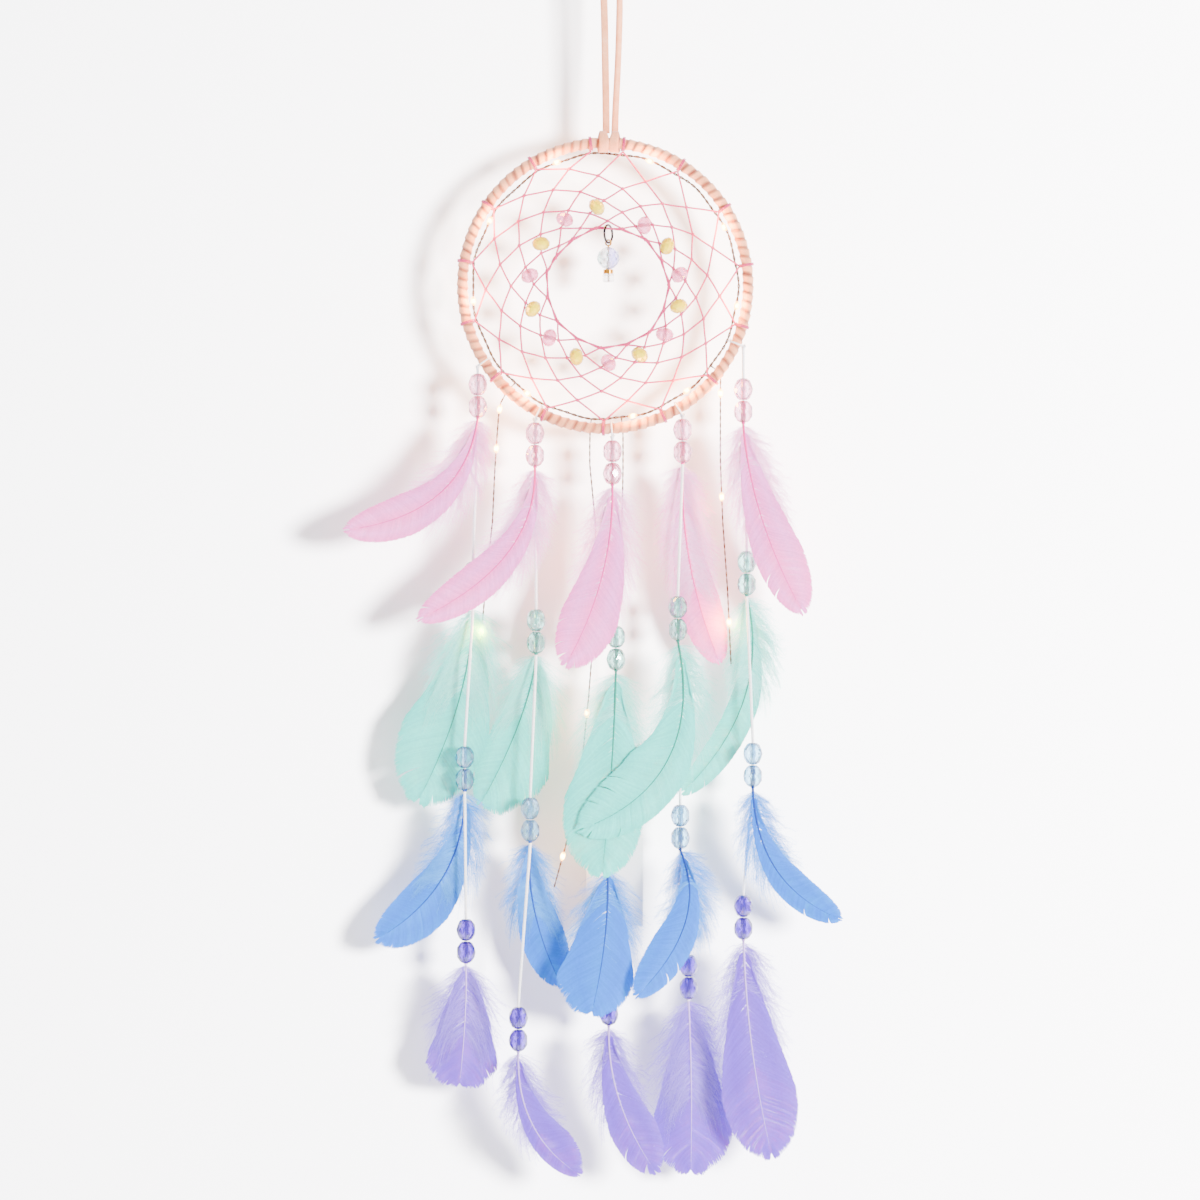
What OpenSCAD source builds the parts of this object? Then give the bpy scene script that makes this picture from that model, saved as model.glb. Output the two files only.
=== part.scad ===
// Dream catcher: a lace-wrapped hoop with a knotted net, five beaded feather strands and a string of
// battery fairy lights. Millimetres, +Z up, +Y towards the wall behind it. The origin is the point
// inside the top of the hanging lace where a nail or hook holds it.

/* [Hoop] */
// Radius of the hoop, to the middle of its ring
hoop_r = 60; // [50:1:80]
// Thickness of the steel ring inside the wrapping
ring_wire_d = 2.6; // [2:0.1:3.2]
// Thickness of the hoop over its lace wrapping
wrap_d = 4.8; // [4.4:0.1:6]
// Sideways offset of the hoop from the hanging point
hoop_x = -2; // [-4:0.5:4]
// Height from the middle of the ring at the top of the hoop up to the hanging point
hang_drop = 75; // [70:1:80]

/* [Hanging lace] */
// Width of the flat suede lace
lace_w = 3; // [2.6:0.1:3.1]
// Thickness of the flat suede lace
lace_t = 1.2; // [1:0.1:1.4]

/* [Net] */
// Thickness of the net's thread
web_thread_d = 0.9; // [0.6:0.1:1]
// Angle on the hoop where the net's first hitch is
web_start_deg = 96; // [95:0.5:98]
// Radius of the round hole in the net, to the knots round it
web_hole_r = 25.4; // [22:0.1:26]
// Diameter of the beads in the net
web_bead_d = 7; // [6:0.1:7.2]
// Length of the beads in the net, along their thread
web_bead_len = 4.6; // [4:0.1:4.8]

/* [Charm] */
// Outer diameter of the jump ring on the net
jump_ring_d = 8.4; // [8:0.1:10]
// Thickness of the jump ring's wire
jump_wire_d = 1; // [0.8:0.1:1.1]
// Diameter of the round glass bead
charm_bead_d = 9.4; // [7:0.1:11]
// Thickness of the pin that carries the charm
pin_d = 0.7; // [0.5:0.1:0.9]
// Width of the clear cube under the glass bead
charm_cube_w = 4; // [3:0.1:6]

/* [Strands] */
// Thickness of the strand's thread
thread_d = 1.3; // [0.8:0.1:1.4]
// Diameter of a strand bead
bead_d = 7.6; // [6:0.1:7.8]
// Height of a strand bead
bead_h = 9; // [7:0.1:9.2]
// Gap between the two beads of a pair
bead_gap = 0.4; // [0.2:0.1:1]
// Diameter of the hole through a bead
bead_bore_d = 1.8; // [1.6:0.1:2.4]

/* [Feathers] */
// Thickness of a feather's vane
vane_t = 1.2; // [0.6:0.1:1.3]
// Thickness of a feather's quill
quill_d = 1; // [0.8:0.1:1.2]
// Distance from the strands' plane to the nearest feathers
layer_first = 5.4; // [5:0.1:5.6]
// Distance from one layer of feathers to the next
layer_step = 1.8; // [1.6:0.1:2]

/* [Fairy lights] */
// Thickness of the lights' wire
wire_d = 0.6; // [0.4:0.1:0.6]
// Diameter of one lamp
lamp_d = 2.2; // [1.6:0.1:2.4]
// Length of one lamp
lamp_len = 3.6; // [3:0.1:4]

/* [Battery case] */
// Width of the case
case_w = 24; // [23.2:0.1:28]
// Height of the case
case_h = 38; // [36:0.5:44]
// Depth of the case with its cover
case_depth = 10.4; // [10:0.1:13]
// Wall of the case, and the cover's thickness
case_wall = 1.2; // [0.8:0.1:1.4]
// Diameter of one coin cell
cell_d = 20; // [19:0.1:20.2]
// Thickness of one coin cell
cell_t = 3.2; // [2.5:0.1:3.2]
// Travel of the switch
switch_travel = 3; // [2:0.5:4]

/* [Hidden] */
$fn = 48;

// Clearance of a thread or lace that goes round the wrapped hoop
hitch_gap = 0.3;
// Clearance of the loops of the knot, in which the hoop swings
knot_gap = 0.45;
// Clearance of a wire in the hole of its lamp
lamp_bore_gap = 0.05;
// Clearance between a fixed and a sliding piece
slide_gap = 0.25;

hoop_z = -hang_drop - hoop_r;
hoop_low = hoop_z - hoop_r;
wrap_r = wrap_d / 2;

// The net has one hitch on the hoop for each thread of a row, and the rows wind inwards
web_hooks = 15;
web_last = 104;
web_step_deg = 24.76;
web_shift = [1.3, -0.8];
hook_r = hoop_r - wrap_r - hitch_gap - web_thread_d / 2;
web_knot_d = 1.4 * web_thread_d;
// Radius of the knots, as [number of the knot, share of the way from the hole to the hoop]
web_radii = [[15, 0.83], [63, 0.29], [87, 0.08], [92, 0], [105, 0]];
web_beads_first = 58;
web_beads_last = 71;

net_bead_outline = [[0.5, 0.06], [0.38, 0.3], [0.15, 0.5]];
strand_bead_outline = [[0.5, 0.1], [0.44, 0.3], [0.24, 0.5]];

// Strands: the place across the hoop, then for each tier the place across and the height of the
// upper bead's top, from the strand's tie on the hoop
strand_tie_x = [-55.5, -31.5, 1, 30.5, 56];
strand_tiers = [
    [[-55.5, -3.1], [-57.5, -82.1], [-61, -159.6], [-60.5, -232.1]],
    [[-31.5, -1.4], [-31, -79.9], [-33.5, -158.9], [-38.5, -246.9]],
    [[1, -1.7], [2.5, -79.7], [-1, -162.7], [-0.5, -228.7]],
    [[30.5, -1.6], [28.5, -76.1], [29.5, -163.6], [33, -226.6]],
    [[56, -13.5], [57.5, -86], [60, -166.5], [56, -230.5]]
];
tier_colors = ["pink", "paleturquoise", "lightskyblue", "mediumpurple"];

// Feathers, tier by tier and strand by strand: the layer, in front when negative, the bend and the
// tip of the quill from its root as [across, up], and the width of the vane on each side
feathers = [
    [
        [-1, [-5, -41], [-56, -47], 9, 9],
        [-2, [2, -40], [-49, -64], 8, 9],
        [-1, [1, -40], [-20, -76], 13, 12],
        [2, [-1, -44], [16, -84], 9, 9],
        [-1, [2, -38], [25, -80], 12, 9]
    ],
    [
        [2, [-1, -40], [-24, -83], 17, 20],
        [3, [-3, -27], [-24, -64], 21, 10],
        [-2, [-1, -42], [-6, -86], 15, 19],
        [-3, [12, -60], [-42, -79], 11, 15],
        [3, [12, -46], [-28, -84], 7, 6]
    ],
    [
        [1, [0, -42], [-38, -63], 12, 10],
        [2, [-3, -28], [13, -61], 10, 9],
        [-1, [1, -30], [-7, -61], 15, 19],
        [-4, [13, -30], [-19, -61], 7, 10],
        [-1, [1, -41], [37, -55], 8, 6]
    ],
    [
        [1, [0, -27], [-3, -52], 17, 17],
        [-1, [-1, -34], [26, -51], 11, 5],
        [-2, [-1, -31], [20, -61], 11, 9],
        [1, [2, -37], [1, -74], 18, 18],
        [-1, [1, -45], [12, -91], 16, 16]
    ]
];
// The quill hangs off its strand beside the thread, and the vane begins at this share of the quill
quill_start_y = 1.5;
vane_start = 0.16;
vane_steps = 14;

// Fairy lights: the angles of the lamps on the hoop, and for each hanging wire its route, with heights
// from the lowest point of the ring, and the lamps on it as [stretch of the route, share of it]
light_r = hoop_r - wrap_r - 1.8;
light_y = 2;
lamp_angles = [111.5, 70.5, 26.5, -8.5, -52, -78, -126, 186.5, 150.5];
left_drop_deg = 227;
// The right wire leaves the hoop at one place across it, short of the last strand
right_drop_x = 48.717;
right_drop_deg = 360 - acos(right_drop_x / (hoop_r + 1));
right_drop_z = hoop_r + (hoop_r + 1) * sin(right_drop_deg);
middle_drop_deg = 264;
lead_deg = 277;
left_drop_route = [[-46, 4, 11], [-47, 5.1, 5], [-48.5, 5.1, -17], [-49.5, 5.1, -39],
    [-52, 5.1, -63], [-54.5, 5.1, -89]];
left_drop_marks = [[2, 0.45], [3, 0.6], [6, 0.85]];
right_drop_route = [[46.5, 4, right_drop_z - 4.29], [46.5, 5.1, right_drop_z - 12.29],
    [46.5, 5.1, -13], [47.5, 5.1, -39],
    [49.5, 5.1, -67], [51, 5.1, -99]];
right_drop_marks = [[2, 0.5], [4, 0.6], [6, 0.45]];
middle_drop_route = [[-8.5, 4, -8], [-8.5, 5.1, -15], [-6, 5.1, -41], [-6.5, 5.1, -81],
    [-9, 5.1, -113], [-12.5, 5.1, -147], [-18, 5.1, -173], [-23.5, 5.1, -193]];
middle_drop_marks = [[4, 0.3], [6, 0.2], [8, 0.35]];
case_x = 2;
case_top = hoop_low - 172;
case_front_y = 11;
lead_route = [[5.5, 4.3, -7], [5.5, 5, -17], [5, 8, -45], [3, 12, -85], [2, 15.4, -125],
    [2, 16.2, -155]];
case_back_y = case_front_y + case_depth;
cover_y = case_back_y - case_wall;
cell_z = case_top - case_h + case_wall + slide_gap + cell_d / 2;
cells_y = case_front_y + case_wall + 0.5;
board_z = cell_z + cell_d / 2 + 5;
knob_w = 4;
knob_h = 2.4;
knob_z = case_top - case_wall - 5;

function unit(v) = v / norm(v);
function on_hoop(r, a, y = 0) = [hoop_x + r * cos(a), y, hoop_z + r * sin(a)];
function strand_angle(k) =
    -acos((strand_tie_x[k] - hoop_x) / (hoop_r + tie_r()));
function tie_r() = wrap_r + hitch_gap + thread_d / 2;

// Net knots: the first ones are on the hoop, and each next knot sits between two knots of the turn before
function web_radius(n) = n < web_hooks
    ? hook_r
    : web_hole_r + (hook_r - web_hole_r) * lookup(n, web_radii);
function web_knot(n) =
    let (a = web_start_deg + n * web_step_deg)
    web_radius(n) * [cos(a), sin(a)] + web_shift * n / web_last;

// Strand thread: straight down through each pair of beads
function bead_pair_h() = 2 * bead_h + bead_gap;
function strand_tie(k) = on_hoop(hoop_r + tie_r(), strand_angle(k));
function pair_top(k, tier) = [strand_tiers[k][tier][0], 0, strand_tie(k)[2] + strand_tiers[k][tier][1]];
function strand_route(k) = concat(
    [strand_tie(k)],
    [for (tier = [0:3], end = [0, 1]) pair_top(k, tier) + [0, 0, 1 - end * (bead_pair_h() + 2)]]
);

// Feather: a quadratic curve from the root, and the share of the vane's width at each point of it
function quill(bend, tip, s) = 2 * s * (1 - s) * bend + s * s * tip;
function quill_side(bend, tip, s) =
    let (d = unit((1 - s) * bend + s * (tip - bend))) [-d[1], d[0]];
function vane_width(s) =
    sin(90 * min(1, s / 0.5)) * sqrt(1 - pow(max(0, (s - 0.55) / 0.45), 2.4));
function vane_share(i) = vane_start + (1 - vane_start) * i / vane_steps;
function vane_outline(f) = concat(
    [for (i = [0:vane_steps]) let (s = vane_share(i))
        quill(f[1], f[2], s) + quill_side(f[1], f[2], s) * f[3] * vane_width(s)],
    [for (i = [vane_steps - 1:-1:0]) let (s = vane_share(i))
        quill(f[1], f[2], s) - quill_side(f[1], f[2], s) * f[4] * vane_width(s)]
);
function layer_y(n) = sign(n) * (layer_first + (abs(n) - 1) * layer_step);

// Tube swept along a route whose points may carry a twist, with an oval section across it
function route_dir(route, i) =
    let (a = max(i - 1, 0), b = min(i + 1, len(route) - 1))
    unit(xyz(route[b]) - xyz(route[a]));
function xyz(p) = [p[0], p[1], p[2]];
function section(p, dir, w, t, sides) =
    let (u = unit(cross([0, 1, 0], dir)), v = cross(dir, u), turn = len(p) > 3 ? p[3] : 0)
    [for (j = [0:sides - 1]) let (a = 360 * j / sides, c = w / 2 * cos(a), s = t / 2 * sin(a))
        xyz(p) + u * (c * cos(turn) - s * sin(turn)) + v * (c * sin(turn) + s * cos(turn))];

module tube(route, w, t, sides = 8) {
    last = len(route) - 1;
    points = [for (i = [0:last]) each section(route[i], route_dir(route, i), w, t, sides)];
    walls = [for (i = [0:last - 1], j = [0:sides - 1]) let (k = (j + 1) % sides)
        [i * sides + j, (i + 1) * sides + j, (i + 1) * sides + k, i * sides + k]];
    caps = [[for (j = [0:sides - 1]) j], [for (j = [sides - 1:-1:0]) last * sides + j]];
    polyhedron(points, concat(walls, caps));
}

// Ring round the wrapped hoop at an angle on it
module hitch(a, r, d, facets = 48) {
    translate(on_hoop(hoop_r, a)) rotate([0, -a, 0]) rotate_extrude($fn = facets)
        translate([r, 0]) circle(d = d, $fn = facets > 20 ? 24 : 4);
}

module in_front_plane() {
    translate([hoop_x, 0, hoop_z]) rotate([90, 0, 0]) children();
}

// A bead's outline is given as [share of its diameter, share of its length], from its middle out
module drilled_bead(d, length, bore, outline) {
    last = len(outline) - 1;
    rotate_extrude() polygon(concat(
        [[bore / 2, -length / 2]],
        [for (i = [last:-1:0]) [outline[i][0] * d, -outline[i][1] * length]],
        [for (p = outline) [p[0] * d, p[1] * length]],
        [[bore / 2, length / 2]]
    ));
}

module hanging_lace() {
    knot_top = -hang_drop + wrap_r + knot_gap + lace_t;
    route = [
        [-1.6, 0, knot_top, 0], [-1.7, 0, -60, 0], [-2, 0, -40, 0], [-2.4, 0, -20, 0],
        [-2.9, 0, -9, 45], [-3.4, 0, -3.6, 90], [-2.6, 0, -1, 90], [-1.2, 0, 0.3, 90],
        [0, 0, lace_t / 2, 90],
        [1.2, 0, 0.3, 90], [2.6, 0, -1, 90], [3.5, 0, -3.6, 90], [3.9, 0, -9, 135],
        [4, 0, -20, 180], [3.2, 0, -40, 180], [2, 0, -60, 180], [1.6, 0, knot_top, 180]
    ];
    color("peachpuff") tube(route, lace_w, lace_t);
}

module lace_knot() {
    r = wrap_r + knot_gap;
    color("peachpuff") {
        for (a = [91.5, 85.2]) {
            translate(on_hoop(hoop_r, a)) rotate([0, -a, 0]) rotate_extrude()
                translate([r, -lace_w / 2]) square([lace_t, lace_w]);
        }
        translate([-5, -r - lace_t - 0.9, -hang_drop - lace_w / 2]) cube([9.4, lace_t, lace_w]);
        for (a = [91.5, 85.2]) {
            translate([on_hoop(hoop_r, a)[0] - 1.2, -r - lace_t - 0.2, -hang_drop - 1])
                cube([2.4, 0.8, 2]);
        }
    }
}

module hoop_ring() {
    color("silver") in_front_plane() rotate_extrude($fn = 96)
        translate([hoop_r, 0]) circle(d = ring_wire_d);
}

module hoop_wrap() {
    color("peachpuff") in_front_plane() rotate_extrude($fn = 96) translate([hoop_r, 0])
        difference() {
            circle(d = wrap_d);
            circle(d = ring_wire_d + 0.1);
        }
}

module web_line(a, b) {
    hull() {
        translate(a) circle(d = web_thread_d, $fn = 6);
        translate(b) circle(d = web_thread_d, $fn = 6);
    }
}

module web_thread() {
    last = web_last;
    color("palevioletred") union() {
        in_front_plane() linear_extrude(web_thread_d, center = true) {
            for (n = [0:last - web_hooks]) {
                web_line(web_knot(n), web_knot(n + web_hooks));
                web_line(web_knot(n + web_hooks), web_knot(n + 1));
            }
            for (n = [last - web_hooks + 1:last - 1]) web_line(web_knot(n), web_knot(n + 1));
            web_line(web_knot(last), web_knot(last - web_hooks + 1));
            for (n = [0:last]) translate(web_knot(n)) circle(d = web_knot_d, $fn = 6);
        }
        for (n = [0:web_hooks - 1]) {
            hitch(web_start_deg + n * web_step_deg, hoop_r - hook_r, web_thread_d, 16);
        }
    }
}

module web_bead(n) {
    a = web_knot(n);
    b = web_knot(n + web_hooks);
    along = atan2(b[1] - a[1], b[0] - a[0]);
    in_front_plane() translate((a + b) / 2) rotate([0, 90, along])
        drilled_bead(web_bead_d, web_bead_len, 1.8 * web_thread_d, net_bead_outline);
}

module web_beads(first) {
    for (n = [first:2:web_beads_last]) web_bead(n);
}

module web_beads_yellow() {
    color("gold") web_beads(web_beads_first);
}

module web_beads_pink() {
    color("mistyrose") web_beads(web_beads_first + 1);
}

// The jump ring hangs on the thread round the net's hole, and the charm's eye hangs in the ring
charm_x = hoop_x + web_shift[0];
ring_thread_z = hoop_z + web_shift[1] + web_hole_r * cos(web_step_deg / 2);
jump_r = (jump_ring_d - jump_wire_d) / 2;
jump_z = ring_thread_z + 0.71 * web_thread_d + 0.3 + jump_wire_d / 2 - jump_r;
eye_r = jump_wire_d / 2 + 0.3 + pin_d / 2;
eye_z = jump_z - jump_r;
charm_bead_z = eye_z - eye_r - pin_d / 2 - 0.3 - charm_bead_d / 2;
cap_h = 1.8;
cap_z = charm_bead_z - charm_bead_d / 2 - 0.1 - cap_h;
cube_h = 2.7;
cube_z = cap_z - 0.1 - cube_h;

module jump_ring() {
    color("dimgray") translate([charm_x, 0, jump_z]) rotate([0, 90, 0]) rotate_extrude()
        translate([jump_r, 0]) circle(d = jump_wire_d, $fn = 24);
}

module charm_pin() {
    color("goldenrod") union() {
        translate([charm_x, 0, eye_z]) rotate([90, 0, 0]) rotate_extrude()
            translate([eye_r, 0]) circle(d = pin_d, $fn = 24);
        translate([charm_x, 0, cube_z - 0.4]) cylinder(d = pin_d, h = eye_z - eye_r - cube_z + 0.4);
        translate([charm_x, 0, cube_z - 0.6]) cylinder(d = 2.4 * pin_d, h = 0.5);
    }
}

module charm_bead() {
    color("lavender") translate([charm_x, 0, charm_bead_z]) difference() {
        sphere(d = charm_bead_d, $fn = 64);
        cylinder(d = pin_d + 0.3, h = 2 * charm_bead_d, center = true);
    }
}

module charm_cap() {
    color("darkgoldenrod") translate([charm_x, 0, cap_z]) difference() {
        cylinder(d = charm_cube_w + 0.2, h = cap_h);
        translate([0, 0, -1]) cylinder(d = pin_d + 0.2, h = cap_h + 2);
        translate([0, 0, cap_h + 0.1 + charm_bead_d / 2]) sphere(d = charm_bead_d + 0.2, $fn = 64);
    }
}

module charm_cube() {
    color("aliceblue") translate([charm_x, 0, cube_z]) difference() {
        translate([-charm_cube_w / 2, -charm_cube_w / 2, 0]) cube([charm_cube_w, charm_cube_w, cube_h]);
        translate([0, 0, -1]) cylinder(d = pin_d + 0.2, h = cube_h + 2);
    }
}

module strand_thread(k) {
    color("white") union() {
        hitch(strand_angle(k), tie_r(), thread_d);
        tube(strand_route(k), thread_d, thread_d);
    }
}

module strand_beads(k) {
    for (tier = [0:3], below = [0, 1]) {
        color(tier_colors[tier])
            translate(pair_top(k, tier) - [0, 0, bead_h / 2 + below * (bead_h + bead_gap)])
            drilled_bead(bead_d, bead_h, bead_bore_d, strand_bead_outline);
    }
}

module feather(k, tier) {
    f = feathers[tier][k];
    y = layer_y(f[0]);
    join = quill(f[1], f[2], vane_start + 0.06);
    translate(pair_top(k, tier) - [0, 0, bead_pair_h() + 0.4]) union() {
        translate([0, y, 0]) rotate([90, 0, 0]) linear_extrude(vane_t, center = true)
            polygon(vane_outline(f));
        hull() {
            translate([0, sign(y) * quill_start_y, -quill_d / 2]) sphere(d = quill_d, $fn = 8);
            translate([join[0], y, join[1]]) sphere(d = quill_d, $fn = 8);
        }
    }
}

module pink_feather(k) { color("pink") feather(k, 0); }
module aqua_feather(k) { color("aquamarine") feather(k, 1); }
module blue_feather(k) { color("deepskyblue") feather(k, 2); }
module purple_feather(k) { color("mediumpurple") feather(k, 3); }

module lamp() {
    rotate_extrude() polygon([
        [wire_d / 2 + lamp_bore_gap, -lamp_len / 2], [0.3 * lamp_d, -lamp_len / 2],
        [lamp_d / 2, -lamp_len / 5], [lamp_d / 2, lamp_len / 5], [0.3 * lamp_d, lamp_len / 2],
        [wire_d / 2 + lamp_bore_gap, lamp_len / 2]
    ]);
}

module lamp_on(a, b, share) {
    d = b - a;
    translate(a + d * share) rotate([0, acos(d[2] / norm(d)), atan2(d[1], d[0])]) lamp();
}

// A hanging wire leaves the hoop's wire, passes behind the hoop and follows its own route
function drop_route(a, route) = concat(
    [on_hoop(light_r, a, light_y + wire_d + 0.3), on_hoop(hoop_r + 1, a, wrap_r + 0.8)],
    [for (p = route) p + [0, 0, hoop_low]]
);

module drop_wire(a, route) {
    color("peru") tube(drop_route(a, route), wire_d, wire_d);
}

module drop_lamps(a, route, marks) {
    whole = drop_route(a, route);
    color("lightyellow") for (m = marks) lamp_on(whole[m[0]], whole[m[0] + 1], m[1]);
}

module left_drop_wire() { drop_wire(left_drop_deg, left_drop_route); }
module right_drop_wire() { drop_wire(right_drop_deg, right_drop_route); }
module middle_drop_wire() { drop_wire(middle_drop_deg, middle_drop_route); }
module left_drop_lamps() { drop_lamps(left_drop_deg, left_drop_route, left_drop_marks); }
module right_drop_lamps() { drop_lamps(right_drop_deg, right_drop_route, right_drop_marks); }
module middle_drop_lamps() { drop_lamps(middle_drop_deg, middle_drop_route, middle_drop_marks); }

module light_wire_hoop() {
    color("peru") translate([0, light_y, 0]) in_front_plane() rotate_extrude($fn = 96)
        translate([light_r, 0]) circle(d = wire_d, $fn = 24);
}

module hoop_lamps() {
    color("lightyellow") for (a = lamp_angles)
        translate(on_hoop(light_r, a, light_y)) rotate([0, -a, 0]) lamp();
}

module battery_lead() {
    case_hole = [case_x, (case_front_y + case_back_y) / 2, case_top + 0.1];
    color("peru") tube(concat(drop_route(lead_deg, lead_route), [case_hole]), wire_d, wire_d);
}

module battery_case() {
    color("white") difference() {
        translate([case_x - case_w / 2, case_front_y, case_top - case_h])
            cube([case_w, case_depth, case_h]);
        translate([case_x - case_w / 2 + case_wall, case_front_y + case_wall, case_top - case_h + case_wall])
            cube([case_w - 2 * case_wall, case_depth, case_h - 2 * case_wall]);
        // The cover's groove, open at the bottom
        translate([case_x - case_w / 2 + case_wall / 2, cover_y - 0.3, case_top - case_h - 1])
            cube([case_w - case_wall, case_wall + 1.3, case_h - case_wall + 1]);
        // The switch's slot
        slot_x = case_x - knob_w / 2 - switch_travel - slide_gap;
        translate([slot_x, case_front_y - 1, knob_z - knob_h / 2 - slide_gap])
            cube([knob_w + switch_travel + 2 * slide_gap, case_wall + 2, knob_h + 2 * slide_gap]);
    }
}

module battery_cover() {
    rib_h = 1.2;
    color("whitesmoke") union() {
        translate([case_x - case_w / 2 + case_wall / 2 + slide_gap, cover_y, case_top - case_h])
            cube([case_w - case_wall - 2 * slide_gap, case_wall, case_h - case_wall - slide_gap]);
        for (i = [0:3]) {
            translate([case_x - 5, case_back_y - 0.1, case_top - case_h + 3 + i * 2 * rib_h])
                cube([10, 0.5, rib_h]);
        }
    }
}

module coin_cells() {
    color("silver") for (i = [0, 1])
        translate([case_x, cells_y + i * (cell_t + 0.05), cell_z]) rotate([-90, 0, 0])
            cylinder(d = cell_d, h = cell_t);
}

// One flat contact under the cells and one above them, both led up to the board
module cell_contacts() {
    strip_t = 0.3;
    color("gold") for (y = [case_front_y + case_wall + 0.1, cells_y + 2 * cell_t + 0.15])
        translate([case_x - 3, y, cell_z - 4]) cube([6, strip_t, board_z - 5.4 - cell_z + 4]);
}

module circuit_board() {
    board_w = 16;
    color("seagreen") union() {
        translate([case_x - board_w / 2, case_front_y + case_wall + 2.4, board_z - 5])
            cube([board_w, 1.2, 9]);
        translate([case_x + 3, case_front_y + case_wall + 3.6, board_z - 2]) cube([3, 1.4, 1.6]);
    }
}

module switch_knob() {
    color("dimgray") union() {
        translate([case_x - knob_w / 2, case_front_y - 0.9, knob_z - knob_h / 2])
            cube([knob_w, case_wall + 1.4, knob_h]);
        translate([case_x - knob_w / 2 - 1, case_front_y + case_wall + slide_gap, knob_z - knob_h / 2 - 0.8])
            cube([knob_w + 2, 1.2, knob_h + 1.6]);
    }
}

hanging_lace();
lace_knot();
hoop_ring();
hoop_wrap();
web_thread();
web_beads_yellow();
web_beads_pink();
jump_ring();
charm_pin();
charm_bead();
charm_cap();
charm_cube();
for (k = [0:4]) {
    strand_thread(k);
    strand_beads(k);
    pink_feather(k);
    aqua_feather(k);
    blue_feather(k);
    purple_feather(k);
}
light_wire_hoop();
hoop_lamps();
left_drop_wire();
left_drop_lamps();
right_drop_wire();
right_drop_lamps();
middle_drop_wire();
middle_drop_lamps();
battery_lead();
battery_case();
battery_cover();
coin_cells();
cell_contacts();
circuit_board();
switch_knob();
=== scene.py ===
"""Dream catcher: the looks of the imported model. Lengths are in mm until the meshes are built."""

import math
import random
from math import cos, pi, sin

import bpy
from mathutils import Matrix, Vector


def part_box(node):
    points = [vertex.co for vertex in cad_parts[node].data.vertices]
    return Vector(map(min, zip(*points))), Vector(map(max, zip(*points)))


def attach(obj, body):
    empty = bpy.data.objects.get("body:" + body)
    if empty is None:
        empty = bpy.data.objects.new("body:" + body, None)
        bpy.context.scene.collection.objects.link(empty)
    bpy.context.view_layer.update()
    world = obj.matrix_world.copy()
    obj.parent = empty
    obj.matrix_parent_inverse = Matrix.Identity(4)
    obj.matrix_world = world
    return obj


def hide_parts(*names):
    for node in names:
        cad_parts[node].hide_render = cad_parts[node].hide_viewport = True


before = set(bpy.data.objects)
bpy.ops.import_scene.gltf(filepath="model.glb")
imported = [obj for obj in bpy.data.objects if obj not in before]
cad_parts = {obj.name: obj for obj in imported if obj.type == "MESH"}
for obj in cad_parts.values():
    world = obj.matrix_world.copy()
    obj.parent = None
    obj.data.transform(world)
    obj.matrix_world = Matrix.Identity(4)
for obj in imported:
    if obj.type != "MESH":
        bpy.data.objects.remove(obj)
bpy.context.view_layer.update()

MM = 0.001
UP = Vector((0, 0, 1))
BACK = Vector((0, 1, 0))

# Driving dimensions, as in the CAD source
HOOP_R = 60
HOOP_X = -2
HANG_DROP = 75
HOOP_Z = -HANG_DROP - HOOP_R
WRAP_R = 2.4
LACE_W, LACE_T = 3.0, 1.2
WEB_D = 0.9
WEB_START, WEB_STEP = 96, 24.76
WEB_HOOKS, WEB_LAST = 15, 104
WEB_HOLE_R = 25.4
WEB_SHIFT = Vector((1.3, -0.8))
HITCH_GAP = 0.3
HOOK_R = HOOP_R - WRAP_R - HITCH_GAP - WEB_D / 2
WEB_RADII = [(15, 0.83), (63, 0.29), (87, 0.08), (92, 0), (105, 0)]
WEB_BEADS = range(58, 72)
THREAD_D = 1.3
BEAD_D, BEAD_H, BEAD_GAP = 7.6, 9.0, 0.4
BEAD_BORE = 1.8
PAIR_H = 2 * BEAD_H + BEAD_GAP
TIE_R = WRAP_R + HITCH_GAP + THREAD_D / 2
LAYER_FIRST, LAYER_STEP = 5.4, 1.8
QUILL_Y = 1.5
LIGHT_R, LIGHT_Y = HOOP_R - 4.2, 2
WIRE_D = 0.6
LAMP_D, LAMP_LEN = 2.2, 3.6
WALL_Y = 25
# The charm bead's left and right sides
CHARM_LOW_X = -5.4
CHARM_HIGH_X = 4.0

STRAND_TIE_X = [-55.5, -31.5, 1, 30.5, 56]
STRAND_TIERS = [
    [(-55.5, -176.5), (-57.5, -255.5), (-61, -333), (-60.5, -405.5)],
    [(-31.5, -197), (-31, -275.5), (-33.5, -354.5), (-38.5, -442.5)],
    [(1, -204.5), (2.5, -282.5), (-1, -365.5), (-0.5, -431.5)],
    [(30.5, -195.5), (28.5, -270), (29.5, -357.5), (33, -420.5)],
    [(56, -178.5), (57.5, -251), (60, -331.5), (56, -395.5)],
]
TIERS = ["pink", "aqua", "blue", "purple"]
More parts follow.
